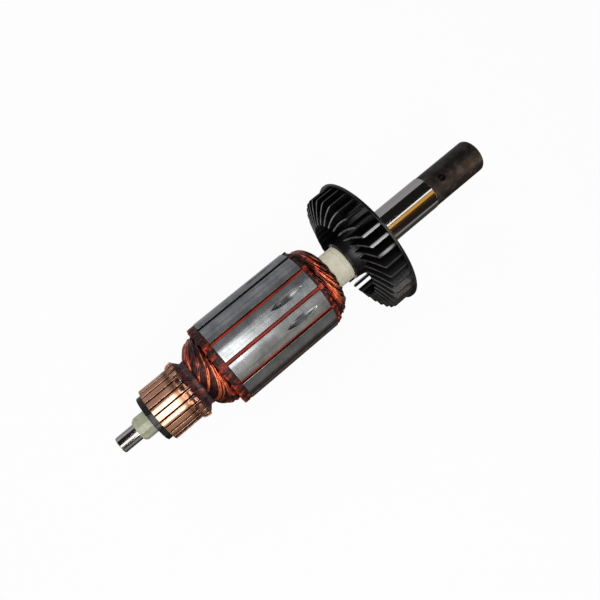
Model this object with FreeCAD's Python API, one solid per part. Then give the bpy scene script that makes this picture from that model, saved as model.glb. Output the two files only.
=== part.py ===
import FreeCAD, Part
import math
import os

# Armature of a universal motor, in millimetres. The shaft lies along X, with the commutator at its low end
# and the drive end at its high end. The origin is the middle of the drive-end bearing seat.
# Angles turn about +X, from +Y towards +Z.

# Whatever is indexed round the shaft (slots, commutator bars, fan blades) starts from this angle.
clock_angle = 102.5

# Drive end of the shaft: a ground bearing seat, then a blackened end with a hole across it.
seat_d = 20.0
seat_length = 43.4
drive_end_d = 19.5
drive_end_length = 36.4
drive_end_round = 2.0
drive_end_round_steps = 3
cross_hole_d = 4.0
cross_hole_from_seat = 8.9
cross_hole_countersink = 0.35

# Rest of the shaft, which steps down to the journal at the commutator end.
fan_seat_d = 16.0
core_seat_d = 14.0
commutator_seat_d = 10.0
journal_d = 9.0
journal_length = 11.1
journal_chamfer = 0.6

# Moulded fan: a disc with a trumpet-shaped hub, and swept blades on its front.
fan_length = 17.8
fan_d = 76.0
fan_disc_thickness = 1.6
hub_nose_d = 23.0
hub_nose_length = 1.2
hub_foot_d = 46.0
hub_flare_steps = 4
blade_count = 36
blade_thickness = 1.1
blade_inner_d = 47.0
blade_outer_d = 73.0
blade_inner_setback = 0.8
blade_tip_setback = 5.5
blade_sweep = 15.0

# Insulating sleeve between the shaft and the core, which reaches back to the fan.
sleeve_d = 20.5
sleeve_front_reach = 14.0
sleeve_back_reach = 24.7
sleeve_rim_chamfer = 0.8

# Laminated core with semi-closed slots.
core_d = 48.0
core_length = 58.0
slot_count = 12
slot_opening = 2.0
slot_lip = 1.2
slot_shoulder = 0.9
slot_top_width = 6.2
slot_floor_width = 3.4
slot_depth = 10.0
slot_floor_corner = 1.0

# Balancing grooves, ground into three teeth by a disc with a V edge.
grooved_teeth = (-1, 0, 9)
groove_length = 20.5
groove_width = 4.0
groove_from_core_back = 15.8
groove_cutter_d = 60.0

# End insulators, slot liners and slot wedges.
front_insulator_d = 47.4
front_insulator_thickness = 4.2
rear_insulator_d = 45.8
rear_insulator_thickness = 2.5
insulator_chamfer = 0.7
liner_thickness = 0.3
wedge_thickness = 0.6
wedge_recess = 0.7
wedge_clearance = 0.05

# Winding: each coil has one leg in the outer layer of a slot and one in the inner layer, five slots on.
# Its two heads are laid over the ends of the core like the strands of a rope round a ring.
coil_span = 5
wire_clearance = 0.12
front_head_depth = 13.5
front_head_height = 11.8
rear_head_depth = 12.9
rear_head_height = 12.5
head_standoff = 0.4
head_eye_r = 1.1
head_crown = 0.45
head_gap_angle = 1.6
head_steps = 10

# Commutator: copper bars keyed into a moulding, each with a hook bent back over the leads.
bar_count = 24
track_d = 30.5
bar_length = 21.3
bar_gap = 0.6
bar_edge = 0.3
key_lip = 2.4
key_flare = 1.0
key_depth = 1.8
mica_undercut = 0.8
collar_d = 26.2
collar_length = 3.3
collar_edge = 0.4
moulding_tail = 1.1
moulding_tail_d = 23.0
commutator_gap = 19.4
hook_width = 2.2
hook_thickness = 0.85
hook_height = 1.8
hook_length = 4.4
hook_bend = 0.6
hook_tip_gap = 0.2

# Front bush: a moulded collar with flats, between the journal and the commutator.
bush_length = 8.7
bush_d = 13.3
bush_flats = 12
bush_nose_d = 11.4
bush_nose_length = 1.5

# Lead pairs, which run from between the hooks down to a neck and up on to the winding head.
lead_d = 1.5
lead_sides = 6
lead_clearance = 0.08
lead_overhang = 0.6
neck_d = 25.3
neck_from_core = 17.9
lead_seat_from_core = 12.1

# Radii and stations that follow from the sizes above.
core_r = core_d / 2
lip_r = core_r - slot_lip
shoulder_r = lip_r - slot_shoulder
wedge_floor_r = shoulder_r - wedge_thickness
floor_r = core_r - slot_depth
corner_r = floor_r + slot_floor_corner
layer_r = (corner_r + wedge_floor_r) / 2
sleeve_r = sleeve_d / 2
track_r = track_d / 2
collar_r = collar_d / 2
lead_r = lead_d / 2
slot_pitch = 360.0 / slot_count
bar_pitch = 360.0 / bar_count

fan_back_x = -seat_length / 2
disc_front_x = fan_back_x - fan_disc_thickness
fan_front_x = fan_back_x - fan_length
core_back_x = fan_front_x - sleeve_back_reach
core_front_x = core_back_x - core_length
front_insulator_x = core_front_x - front_insulator_thickness
rear_insulator_x = core_back_x + rear_insulator_thickness
commutator_back_x = core_front_x - commutator_gap
bar_back_x = commutator_back_x - moulding_tail
bar_front_x = bar_back_x - bar_length
collar_front_x = bar_front_x - collar_length
bush_front_x = collar_front_x - bush_length
journal_end_x = bush_front_x - journal_length
drive_end_x = seat_length / 2 + drive_end_length
cross_hole_x = seat_length / 2 + cross_hole_from_seat

ORIGIN = FreeCAD.Vector()
X_AXIS = FreeCAD.Vector(1, 0, 0)
Z_AXIS = FreeCAD.Vector(0, 0, 1)


def closed_face(points):
    return Part.Face(Part.makePolygon(points + points[:1]))


def side_prism(outline, width):
    """Solid of this width across the XY plane, from its closed side view of (x, y) points."""
    face = closed_face([FreeCAD.Vector(x, y, -width / 2) for x, y in outline])
    return face.extrude(Z_AXIS * width)


def turned(outline):
    """Solid turned about the X axis from a closed outline of (x, radius) points."""
    face = closed_face([FreeCAD.Vector(x, r, 0) for x, r in outline])
    return face.revolve(ORIGIN, X_AXIS, 360)


def prism(outline, start_x, end_x):
    """Solid of one section all along X, from a closed outline of (y, z) points."""
    face = closed_face([FreeCAD.Vector(start_x, y, z) for y, z in outline])
    return face.extrude(FreeCAD.Vector(end_x - start_x, 0, 0))


def both_sides(half):
    """Closed outline from the half of it that lies at positive z."""
    return half + [(y, -z) for y, z in reversed(half)]


def rotated(shape, angle):
    copy = shape.copy()
    copy.rotate(ORIGIN, X_AXIS, angle)
    return copy


def indexed(shape, count):
    """Copies of a shape that is centred on +Y, evenly spaced from the clock angle."""
    return [rotated(shape, clock_angle + i * 360.0 / count) for i in range(count)]


def polar(x, radius, angle):
    """Point at station x, at this radius and this angle about the X axis."""
    turn = math.radians(angle)
    return FreeCAD.Vector(x, radius * math.cos(turn), radius * math.sin(turn))


def skinned(rings, looped):
    """Solid with flat facets between rings of points. A looped one joins its last ring to its first."""
    pairs = list(zip(rings, rings[1:]))
    faces = [closed_face(rings[0]), closed_face(rings[-1])]
    if looped:
        pairs.append((rings[-1], rings[0]))
        faces = []
    for here, there in pairs:
        for i in range(len(here)):
            a, b = here[i - 1], here[i]
            c, d = there[i], there[i - 1]
            if a.distanceToPoint(c) < b.distanceToPoint(d):
                faces += [closed_face([a, b, c]), closed_face([a, c, d])]
            else:
                faces += [closed_face([a, b, d]), closed_face([b, c, d])]
    return Part.Solid(Part.Shell(faces)).removeSplitter()


# Shaft

def make_shaft():
    shaft = turned([
        (journal_end_x, 0),
        (journal_end_x, journal_d / 2 - journal_chamfer),
        (journal_end_x + journal_chamfer, journal_d / 2),
        (bush_front_x, journal_d / 2),
        (bush_front_x, commutator_seat_d / 2),
        (commutator_back_x, commutator_seat_d / 2),
        (commutator_back_x, core_seat_d / 2),
        (fan_front_x, core_seat_d / 2),
        (fan_front_x, fan_seat_d / 2),
        (fan_back_x, fan_seat_d / 2),
        (fan_back_x, seat_d / 2),
        (seat_length / 2, seat_d / 2),
        (seat_length / 2, drive_end_d / 2),
    ] + rounded_end() + [
        (drive_end_x, 0),
    ])
    return shaft.cut(cross_hole())


def rounded_end():
    """Outline of the rounded corner at the drive end, in a few straight steps."""
    steps = [math.pi / 2 * i / drive_end_round_steps for i in range(drive_end_round_steps + 1)]
    centre = (drive_end_x - drive_end_round, drive_end_d / 2 - drive_end_round)
    return [(centre[0] + drive_end_round * math.sin(a), centre[1] + drive_end_round * math.cos(a)) for a in steps]


def cross_hole():
    """Hole across the shaft, with a small countersink at each mouth."""
    hole_r = cross_hole_d / 2
    reach = drive_end_d / 2
    mouth_r = hole_r + cross_hole_countersink
    mouth_depth = cross_hole_countersink + reach - math.sqrt(reach ** 2 - hole_r ** 2)
    foot = FreeCAD.Vector(cross_hole_x, 0, -reach)
    shoulder = FreeCAD.Vector(cross_hole_x, 0, reach - mouth_depth)
    bore = Part.makeCylinder(hole_r, 2 * reach, foot, Z_AXIS)
    lower_mouth = Part.makeCone(mouth_r, hole_r, mouth_depth, foot, Z_AXIS)
    upper_mouth = Part.makeCone(hole_r, mouth_r, mouth_depth, shoulder, Z_AXIS)
    return bore.fuse([lower_mouth, upper_mouth])


# Fan

def make_fan():
    nose_x = fan_front_x + hub_nose_length
    run = disc_front_x - nose_x
    rise = (hub_foot_d - hub_nose_d) / 2
    flare_r = (run ** 2 + rise ** 2) / (2 * rise)
    flare_turn = math.asin(run / flare_r)
    steps = [flare_turn * i / hub_flare_steps for i in range(hub_flare_steps + 1)]
    flare = [(nose_x + flare_r * math.sin(a), hub_nose_d / 2 + flare_r * (1 - math.cos(a))) for a in steps]
    body = turned([
        (fan_front_x, fan_seat_d / 2),
        (fan_front_x, hub_nose_d / 2),
    ] + flare + [
        (disc_front_x, fan_d / 2),
        (fan_back_x, fan_d / 2),
        (fan_back_x, fan_seat_d / 2),
    ])
    return body.fuse(indexed(make_blade(), blade_count))


def make_blade():
    """One blade with its tip on +Y: swept back towards the hub, from the disc up to a sloping front edge."""
    inner_r = blade_inner_d / 2
    outer_r = blade_outer_d / 2
    inner_x = fan_front_x + blade_inner_setback
    tip_x = fan_front_x + blade_tip_setback

    def corner(radius, side):
        lag = blade_sweep * (outer_r - radius) / (outer_r - inner_r)
        half = math.degrees(blade_thickness / 2 / radius)
        return polar(inner_x, radius, side * half - lag)

    radii = [inner_r, (inner_r + outer_r) / 2, outer_r]
    plan = [corner(r, -1) for r in radii] + [corner(r, 1) for r in reversed(radii)]
    blade = closed_face(plan).extrude(FreeCAD.Vector(disc_front_x - inner_x, 0, 0))

    # What lies in front of the sloping edge is cut away, with a margin beyond both ends of the blade.
    margin = blade_thickness
    root_y = inner_r * math.cos(math.radians(blade_sweep))
    slope = (tip_x - inner_x) / (outer_r - root_y)
    waste = side_prism([
        (inner_x - margin, root_y - margin),
        (inner_x - margin * slope, root_y - margin),
        (tip_x + margin * slope, outer_r + margin),
        (inner_x - margin, outer_r + margin),
    ], outer_r)
    return blade.cut(waste)


# Insulating sleeve

def make_sleeve():
    front_x = core_front_x - sleeve_front_reach
    return turned([
        (front_x, core_seat_d / 2),
        (front_x, sleeve_r),
        (fan_front_x - sleeve_rim_chamfer, sleeve_r),
        (fan_front_x, sleeve_r - sleeve_rim_chamfer),
        (fan_front_x, core_seat_d / 2),
    ])


# Core, end insulators, slot liners and wedges

def slot_half_width(radius):
    share = (radius - floor_r) / (shoulder_r - floor_r)
    return (slot_floor_width + share * (slot_top_width - slot_floor_width)) / 2


def slotted(ring, start_x, end_x):
    """Ring with the slots cut through it."""
    outline = both_sides([
        (core_d, slot_opening / 2),
        (lip_r, slot_opening / 2),
        (shoulder_r, slot_half_width(shoulder_r)),
        (corner_r, slot_half_width(corner_r)),
        (floor_r, slot_half_width(floor_r) - slot_floor_corner),
    ])
    return ring.cut(indexed(prism(outline, start_x, end_x), slot_count))


def make_core():
    ring = turned([
        (core_front_x, sleeve_r),
        (core_front_x, core_r),
        (core_back_x, core_r),
        (core_back_x, sleeve_r),
    ])
    grooves = [rotated(balancing_groove(), clock_angle + slot_pitch * (tooth + 0.5)) for tooth in grooved_teeth]
    return slotted(ring, core_front_x, core_back_x).cut(grooves)


def balancing_groove():
    """Edge of the cutter, where it leaves a groove of the stated length and width in the tooth on +Y."""
    cutter_r = groove_cutter_d / 2
    depth = cutter_r - math.sqrt(cutter_r ** 2 - (groove_length / 2) ** 2)
    edge_depth = 2 * depth
    edge_half_width = edge_depth * (groove_width / 2) / depth
    hub = FreeCAD.Vector(core_back_x - groove_from_core_back, core_r - depth + cutter_r, 0)
    sides = [Part.makeCone(cutter_r, cutter_r - edge_depth, edge_half_width, hub, Z_AXIS * side) for side in (-1, 1)]
    return sides[0].fuse(sides[1])


def make_insulator(core_face_x, outer_x, diameter):
    inward = math.copysign(insulator_chamfer, core_face_x - outer_x)
    ring = turned([
        (core_face_x, sleeve_r),
        (core_face_x, diameter / 2),
        (outer_x + inward, diameter / 2),
        (outer_x, diameter / 2 - insulator_chamfer),
        (outer_x, sleeve_r),
    ])
    return slotted(ring, core_face_x, outer_x)


def make_liner():
    """Slot liner on +Y: a U of sheet that lines the slot up to its wedge."""
    def outline(inset):
        return both_sides([
            (wedge_floor_r, slot_half_width(wedge_floor_r) - inset),
            (corner_r, slot_half_width(corner_r) - inset),
            (floor_r + inset, slot_half_width(floor_r) - slot_floor_corner),
        ])
    outside = prism(outline(0), front_insulator_x, rear_insulator_x)
    return outside.cut(prism(outline(liner_thickness), front_insulator_x, rear_insulator_x))


def make_wedge():
    """Slot wedge on +Y: it closes the slot under its lips and shows in the opening."""
    fit = wedge_clearance
    outline = both_sides([
        (core_r - wedge_recess, slot_opening / 2 - fit),
        (lip_r - fit, slot_opening / 2 - fit),
        (shoulder_r - fit, slot_half_width(shoulder_r) - fit),
        (wedge_floor_r, slot_half_width(wedge_floor_r) - fit),
    ])
    return prism(outline, front_insulator_x, rear_insulator_x)


# Coils

def dome_radius(from_core, depth, height):
    """Outer radius of a winding head, this far out from the core."""
    return sleeve_r + height * math.sqrt(1 - (from_core / depth) ** 2)


def dome_reach(eye, direction, depth, height):
    """Distance from the eye of a head to its dome, or to the sleeve that it lies on."""
    out = math.cos(math.radians(direction))
    up = math.sin(math.radians(direction))
    rise = eye[1] - sleeve_r
    a = (out / depth) ** 2 + (up / height) ** 2
    b = 2 * (eye[0] * out / depth ** 2 + rise * up / height ** 2)
    c = (eye[0] / depth) ** 2 + (rise / height) ** 2 - 1
    reach = (-b + math.sqrt(b ** 2 - 4 * a * c)) / (2 * a)
    if up < 0:
        reach = min(reach, (rise - wire_clearance) / -up)
    return reach


def head_section(share, face_x, insulator_x, depth, height):
    """Section of a coil head, this share of the way from its outer leg to its inner leg."""
    outward = math.copysign(1, insulator_x - face_x)
    eye = (abs(insulator_x - face_x) + head_standoff, layer_r)
    strand_angle = 180.0 / (coil_span + 1)
    middle = 90 - strand_angle / 2 - share * (180 - strand_angle)
    half = strand_angle / 2 - head_gap_angle
    corners = [
        (middle + half, head_eye_r),
        (middle + half, dome_reach(eye, middle + half, depth, height) - head_crown),
        (middle, dome_reach(eye, middle, depth, height)),
        (middle - half, dome_reach(eye, middle - half, depth, height) - head_crown),
        (middle - half, head_eye_r),
    ]
    points = []
    for direction, reach in corners:
        turn = math.radians(direction)
        x = face_x + outward * (eye[0] + reach * math.cos(turn))
        points.append(polar(x, eye[1] + reach * math.sin(turn), share * coil_span * slot_pitch))
    return points


def leg_section(x, near_r, far_r, angle):
    """Section of a coil leg in its slot. Its far side faces away from the other layer."""
    near = slot_half_width(near_r) - liner_thickness - wire_clearance
    far = slot_half_width(far_r) - liner_thickness - wire_clearance
    turn = FreeCAD.Rotation(X_AXIS, angle)
    corners = [(near_r, near), (far_r, far), (far_r, 0), (far_r, -far), (near_r, -near)]
    return [turn.multVec(FreeCAD.Vector(x, y, z)) for y, z in corners]


def make_coil():
    """Coil with its outer leg on +Y: out along one leg, round the rear head, back, and round the front head."""
    shares = [(i + 0.5) / head_steps for i in range(head_steps)]
    rear = [head_section(s, core_back_x, rear_insulator_x, rear_head_depth, rear_head_height) for s in shares]
    front = [head_section(s, core_front_x, front_insulator_x, front_head_depth, front_head_height) for s in shares]
    outer_leg = (layer_r + wire_clearance, wedge_floor_r - wire_clearance, 0)
    inner_leg = (layer_r - wire_clearance, corner_r, coil_span * slot_pitch)
    rounds = [leg_section(front_insulator_x, *outer_leg), leg_section(rear_insulator_x, *outer_leg)]
    rounds += rear
    rounds += [leg_section(rear_insulator_x, *inner_leg), leg_section(front_insulator_x, *inner_leg)]
    rounds += reversed(front)
    return skinned(rounds, True)


# Commutator

def make_bar():
    """Bar on +Y: a copper wedge with a round track, a flared key below and a hook at the back."""
    key_r = collar_r - key_depth
    above_r = track_r + bar_edge
    side_view = side_prism([
        (bar_front_x, collar_r),
        (bar_front_x, track_r - bar_edge),
        (bar_front_x + above_r - track_r + bar_edge, above_r),
        (bar_back_x, above_r),
        (bar_back_x, collar_r),
        (bar_back_x - key_lip, collar_r),
        (bar_back_x - key_lip + key_flare, key_r),
        (bar_front_x + key_lip - key_flare, key_r),
        (bar_front_x + key_lip, collar_r),
    ], track_r)

    def half_width(radius):
        half_pitch = math.radians(bar_pitch / 2)
        return radius * math.tan(half_pitch) - bar_gap / 2 / math.cos(half_pitch)

    wedge = prism(both_sides([
        (key_r, half_width(key_r)),
        (above_r, half_width(above_r)),
    ]), bar_front_x, bar_back_x)
    track = Part.makeCylinder(track_r, bar_length, FreeCAD.Vector(bar_front_x, 0, 0), X_AXIS)
    return side_view.common(wedge).common(track).fuse(make_hook()).removeSplitter()


def make_hook():
    """Hook of a bar: it rises at the back of the bar and is bent forward, its tip close over the track."""
    top_r = track_r + hook_height
    under_r = top_r - hook_thickness
    root_r = track_r - hook_thickness
    crest_x = bar_back_x - hook_length / 2
    tip_x = bar_back_x - hook_length
    strip = side_prism([
        (bar_back_x, root_r),
        (bar_back_x, top_r - hook_bend),
        (bar_back_x - hook_bend, top_r),
        (crest_x, top_r),
        (tip_x, track_r + hook_tip_gap + hook_thickness),
        (tip_x, track_r + hook_tip_gap),
        (crest_x, under_r),
        (bar_back_x - hook_thickness, under_r),
        (bar_back_x - hook_thickness, root_r),
    ], hook_width)
    half = hook_width / 2
    rounded = prism(both_sides([
        (root_r, half),
        (top_r - hook_bend, half),
        (top_r, half - hook_bend),
    ]), tip_x, bar_back_x)
    return strip.common(rounded)


def make_moulding(bars):
    """Moulding that fills the space under and between the bars, a little below their track."""
    web_r = track_r - mica_undercut
    body = turned([
        (collar_front_x, commutator_seat_d / 2),
        (collar_front_x, collar_r - collar_edge),
        (collar_front_x + collar_edge, collar_r),
        (bar_front_x, collar_r),
        (bar_front_x, web_r),
        (bar_back_x, web_r),
        (bar_back_x, moulding_tail_d / 2),
        (commutator_back_x, moulding_tail_d / 2),
        (commutator_back_x, commutator_seat_d / 2),
    ])
    return body.cut(bars)


# Front bush

def make_bush():
    def ring(x, diameter):
        corners = [clock_angle + 360.0 * (i + 0.5) / bush_flats for i in range(bush_flats)]
        return [polar(x, diameter / 2, angle) for angle in corners]
    block = skinned([
        ring(bush_front_x, bush_nose_d),
        ring(bush_front_x + bush_nose_length, bush_d),
        ring(collar_front_x, bush_d),
    ], False)
    bore = Part.makeCylinder(commutator_seat_d / 2, bush_length, FreeCAD.Vector(bush_front_x, 0, 0), X_AXIS)
    return block.cut(bore)


# Leads

def make_lead():
    """Lead pair on +Y: it lies between two hooks, dips to the neck and ends on the winding head."""
    seat_r = dome_radius(lead_seat_from_core, front_head_depth, front_head_height) + lead_clearance
    neck_r = neck_d / 2 - lead_r
    climb = math.atan2(seat_r - neck_r + lead_r, neck_from_core - lead_seat_from_core)
    lying_r = track_r + lead_r + lead_clearance
    path = [
        (bar_back_x - hook_length, lying_r),
        (bar_back_x + lead_overhang, lying_r),
        (core_front_x - neck_from_core, neck_r),
        (core_front_x - lead_seat_from_core - lead_r * math.sin(climb), seat_r + lead_r * math.cos(climb)),
    ]
    headings = [math.atan2(b[1] - a[1], b[0] - a[0]) for a, b in zip(path, path[1:])]
    before = headings[:1] + headings
    after = headings + headings[-1:]
    rings = []
    for (x, r), heading_in, heading_out in zip(path, before, after):
        normal = (heading_in + heading_out) / 2 + math.pi / 2
        stretch = lead_r / math.cos((heading_out - heading_in) / 2)
        corners = []
        for i in range(lead_sides):
            turn = 2 * math.pi * (i + 0.5) / lead_sides
            lift = stretch * math.cos(turn)
            across = lead_r * math.sin(turn)
            corners.append(FreeCAD.Vector(x + lift * math.cos(normal), r + lift * math.sin(normal), across))
        rings.append(corners)
    return skinned(rings, False)


bars = indexed(make_bar(), bar_count)
pieces = {
    "shaft": make_shaft(),
    "fan": make_fan(),
    "insulating_sleeve": make_sleeve(),
    "lamination_stack": make_core(),
    "front_end_insulator": make_insulator(core_front_x, front_insulator_x, front_insulator_d),
    "rear_end_insulator": make_insulator(core_back_x, rear_insulator_x, rear_insulator_d),
    "slot_liners": Part.makeCompound(indexed(make_liner(), slot_count)),
    "commutator_moulding": make_moulding(bars),
    "front_bush": make_bush(),
    "commutator_leads": Part.makeCompound(indexed(rotated(make_lead(), bar_pitch / 2), bar_count)),
}
for number, wedge in enumerate(indexed(make_wedge(), slot_count), 1):
    pieces["slot_wedge_%02d" % number] = wedge
for number, coil in enumerate(indexed(make_coil(), slot_count), 1):
    pieces["coil_%02d" % number] = coil
for number, bar in enumerate(bars, 1):
    pieces["commutator_bar_%02d" % number] = bar

os.makedirs("parts", exist_ok=True)
for name, shape in pieces.items():
    shape.exportStep("parts/%s.step" % name)
    print(name, "solids", len(shape.Solids), "valid", shape.isValid(), "volume", round(shape.Volume, 1))
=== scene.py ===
import math
import random
import bmesh
import bpy
from mathutils import Matrix, Vector


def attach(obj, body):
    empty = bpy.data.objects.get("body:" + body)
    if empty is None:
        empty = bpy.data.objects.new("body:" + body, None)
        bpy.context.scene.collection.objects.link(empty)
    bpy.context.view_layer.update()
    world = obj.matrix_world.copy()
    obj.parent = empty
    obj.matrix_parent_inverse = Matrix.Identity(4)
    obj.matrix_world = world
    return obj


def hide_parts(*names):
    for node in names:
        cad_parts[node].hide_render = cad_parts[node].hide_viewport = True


# Armature of a universal motor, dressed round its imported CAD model. The pieces are modelled in millimetres and
# turned to metres as each one is finished. Angles turn about +X, from +Y towards +Z, as in the CAD.
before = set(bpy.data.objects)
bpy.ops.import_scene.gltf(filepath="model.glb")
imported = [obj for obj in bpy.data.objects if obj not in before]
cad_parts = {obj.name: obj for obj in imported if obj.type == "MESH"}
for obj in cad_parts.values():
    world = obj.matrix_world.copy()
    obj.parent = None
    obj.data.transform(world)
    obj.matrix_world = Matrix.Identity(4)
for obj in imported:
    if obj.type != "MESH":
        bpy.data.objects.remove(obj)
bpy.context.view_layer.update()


# Shaft. One bar of carbon steel, turned in steps and ground where the bearings sit. The rest of the pieces are
# pressed or moulded on to it. Its drive end is blackened, with a pin hole across it.

def outline_mesh(outline, closed):
    """Wire of (x, radius, corner radius) points in the plane of the axis, with its corners rounded."""
    bm = bmesh.new()
    corners = [bm.verts.new((x, radius, 0)) for x, radius, _ in outline]
    for here, there in zip(corners, corners[1:]):
        bm.edges.new((here, there))
    if closed:
        bm.edges.new((corners[-1], corners[0]))
    for corner, (_, _, rounding) in zip(corners, outline):
        if rounding:
            bmesh.ops.bevel(bm, geom=[corner], offset=rounding, offset_type="OFFSET", affect="VERTICES",
                            segments=4, profile=0.5, material=-1)
    return bm


def turned(outline, closed=False, steps=128):
    """Mesh turned about X from (x, radius, corner radius) points in mm."""
    bm = outline_mesh(outline, closed)
    bmesh.ops.spin(bm, geom=bm.verts[:] + bm.edges[:], cent=(0, 0, 0), axis=(1, 0, 0), dvec=(0, 0, 0),
                   angle=math.tau, steps=steps, use_merge=True)
    return bm


def quarter_turned(bm, x):
    """The same mesh with what ran along X turned to Z, or the reverse, and moved to this station."""
    bmesh.ops.rotate(bm, verts=bm.verts[:], cent=(0, 0, 0), matrix=Matrix.Rotation(math.pi / 2, 3, "Y"))
    bmesh.ops.translate(bm, verts=bm.verts[:], vec=(x, 0, 0))
    return bm


def joined(bm):
    """The same mesh with its doubles merged and its faces outwards."""
    bmesh.ops.remove_doubles(bm, verts=bm.verts[:], dist=0.002)
    bmesh.ops.recalc_face_normals(bm, faces=bm.faces[:])
    return bm


def placed(name, bm, material=None):
    """Object from a mesh, in the scene."""
    mesh = bpy.data.meshes.new(name)
    bm.to_mesh(mesh)
    bm.free()
    if material:
        mesh.materials.append(material)
    piece = bpy.data.objects.new(name, mesh)
    bpy.context.scene.collection.objects.link(piece)
    return piece


def finished(name, bm, material, slot, *nodes, crease=35):
    """Piece from a mesh in mm: closed, facing outwards, smooth up to the crease angle, and riding on the body."""
    joined(bm)
    bmesh.ops.transform(bm, matrix=Matrix.Scale(0.001, 4), verts=bm.verts[:])
    for face in bm.faces:
        face.smooth = True
    for edge in bm.edges:
        edge.smooth = len(edge.link_faces) == 2 and edge.calc_face_angle(0) < math.radians(crease)
    piece = placed(name, bm, material)
    piece.modifiers.new("flat faces stay flat", "WEIGHTED_NORMAL").keep_sharp = True
    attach(piece, "root")
    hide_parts(*nodes)


def cut_with(bm, cutter):
    """The first mesh less the second, both in mm."""
    whole, tool = [placed("scrap", joined(source)) for source in (bm, cutter)]
    boolean = whole.modifiers.new("cut", "BOOLEAN")
    boolean.object = tool
    boolean.operation = "DIFFERENCE"
    boolean.solver = "EXACT"
    result = bmesh.new()
    result.from_object(whole, bpy.context.evaluated_depsgraph_get())
    for scrap in (whole, tool):
        bpy.data.objects.remove(scrap)
    return result


def linear(code):
    """Linear colour from an sRGB hex code."""
    levels = [int(code[i:i + 2], 16) / 255 for i in (1, 3, 5)]
    return [v / 12.92 if v <= 0.04045 else ((v + 0.055) / 1.055) ** 2.4 for v in levels] + [1]


def fill(node, **inputs):
    """Fills a node's inputs, by name or as i and a number, each with a value, a hex colour, or an output of another
    node. A node stands for its first output in use."""
    for name, value in inputs.items():
        socket = node.inputs[int(name[1:]) if name[1:].isdigit() else name.replace("_", " ")]
        if isinstance(value, bpy.types.Node):
            value = next(output for output in value.outputs if output.enabled)
        if isinstance(value, bpy.types.NodeSocket):
            node.id_data.links.new(value, socket)
        else:
            socket.default_value = linear(value) if isinstance(value, str) else value


def add_node(material, kind, settings=None, stops=(), **inputs):
    """One more shader node, with its settings and links. The stops are a colour ramp's (position, hex colour)."""
    node = material.node_tree.nodes.new("ShaderNode" + kind)
    for name, value in (settings or {}).items():
        setattr(node, name, value)
    for _ in stops[2:]:
        node.color_ramp.elements.new(0.5)
    for number, (position, code) in enumerate(stops):
        node.color_ramp.elements[number].position = position
        node.color_ramp.elements[number].color = linear(code)
    fill(node, **inputs)
    return node


def new_material(name):
    """Material with its surface shader, and the object coordinates, in metres, that its patterns follow."""
    material = bpy.data.materials.new(name)
    material.use_nodes = True
    place = add_node(material, "TexCoord").outputs["Object"]
    return material, material.node_tree.nodes["Principled BSDF"], place


journal_r = 4.5
seat_r = 10.0
seat_half = 21.7
drive_end_r = 9.75
drive_end_x = 58.1
commutator_bore_r = 5.0
core_bore_r = 7.0
fan_bore_r = 8.0
bush_front_x = -176.0
moulding_back_x = -141.6
fan_front_x = -39.5
hole_r = 2.0
hole_x = 30.6
hole_half = 9.19

# Ground steel is bright and even: the rings left by the wheel are too fine to show. Oxide black wears brown, in
# patches of about 5 mm.
shaft_steel, surface, place = new_material("ground_and_blackened_steel")
blackened = add_node(shaft_steel, "Math", {"operation": "GREATER_THAN"},
                     i0=add_node(shaft_steel, "SeparateXYZ", Vector=place), i1=seat_half / 1000)
mottle = add_node(shaft_steel, "TexNoise", Vector=place, Scale=1000 / 5, Detail=6, Roughness=0.7)
oxide = add_node(shaft_steel, "ValToRGB", stops=((0.38, "#131110"), (0.52, "#27221f"), (0.68, "#4e4035")),
                 Fac=mottle)
fill(surface,
     Base_Color=add_node(shaft_steel, "Mix", {"data_type": "RGBA"}, i0=blackened, i6="#b7b4b0", i7=oxide),
     Roughness=add_node(shaft_steel, "MapRange", Value=blackened, To_Min=0.09, To_Max=0.42),
     Metallic=add_node(shaft_steel, "MapRange", Value=blackened, To_Min=1.0, To_Max=0.6))

shaft_mesh = turned([
    (-187.1, 0, 0), (-187.1, journal_r, 0.6), (bush_front_x, journal_r, 0.1), (bush_front_x, commutator_bore_r, 0),
    (moulding_back_x, commutator_bore_r, 0), (moulding_back_x, core_bore_r, 0), (fan_front_x, core_bore_r, 0),
    (fan_front_x, fan_bore_r, 0), (-seat_half, fan_bore_r, 0), (-seat_half, seat_r, 0.25), (seat_half, seat_r, 0.1),
    (seat_half, drive_end_r, 0), (drive_end_x, drive_end_r, 2.0), (drive_end_x, 0, 0)])
cross_hole = turned([
    (-12, 0, 0), (-12, 4.5, 0), (-hole_half, hole_r, 0.15), (hole_half, hole_r, 0.15), (12, 4.5, 0), (12, 0, 0)],
    steps=48)
finished("stepped_shaft", cut_with(shaft_mesh, quarter_turned(cross_hole, hole_x)), shaft_steel, "shaft_steel",
         "shaft")


# Fan. Moulded in one piece from black glass-filled nylon and pressed on to the shaft: a disc with a trumpet hub,
# and 36 thin blades on its front, swept back towards the hub.

def slab(outline, thickness):
    """Flat piece of this thickness across Z, centred, from (x, y, corner radius) points in mm."""
    bm = outline_mesh(outline, True)
    bmesh.ops.contextual_create(bm, geom=bm.edges[:])
    pushed = bmesh.ops.extrude_face_region(bm, geom=bm.faces[:])["geom"]
    bmesh.ops.translate(bm, verts=[v for v in pushed if isinstance(v, bmesh.types.BMVert)], vec=(0, 0, thickness))
    bmesh.ops.translate(bm, verts=bm.verts[:], vec=(0, 0, -thickness / 2))
    bmesh.ops.recalc_face_normals(bm, faces=bm.faces[:])
    return bm


def eased(bm, radius, steps=2, least=40):
    """The same mesh, with the edges bevelled that are sharper than this many degrees."""
    sharp = [e for e in bm.edges if len(e.link_faces) == 2 and e.calc_face_angle(0) > math.radians(least)]
    bmesh.ops.bevel(bm, geom=sharp, offset=radius, offset_type="OFFSET", affect="EDGES", segments=steps,
                    profile=0.5, material=-1, clamp_overlap=True)
    return bm


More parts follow.
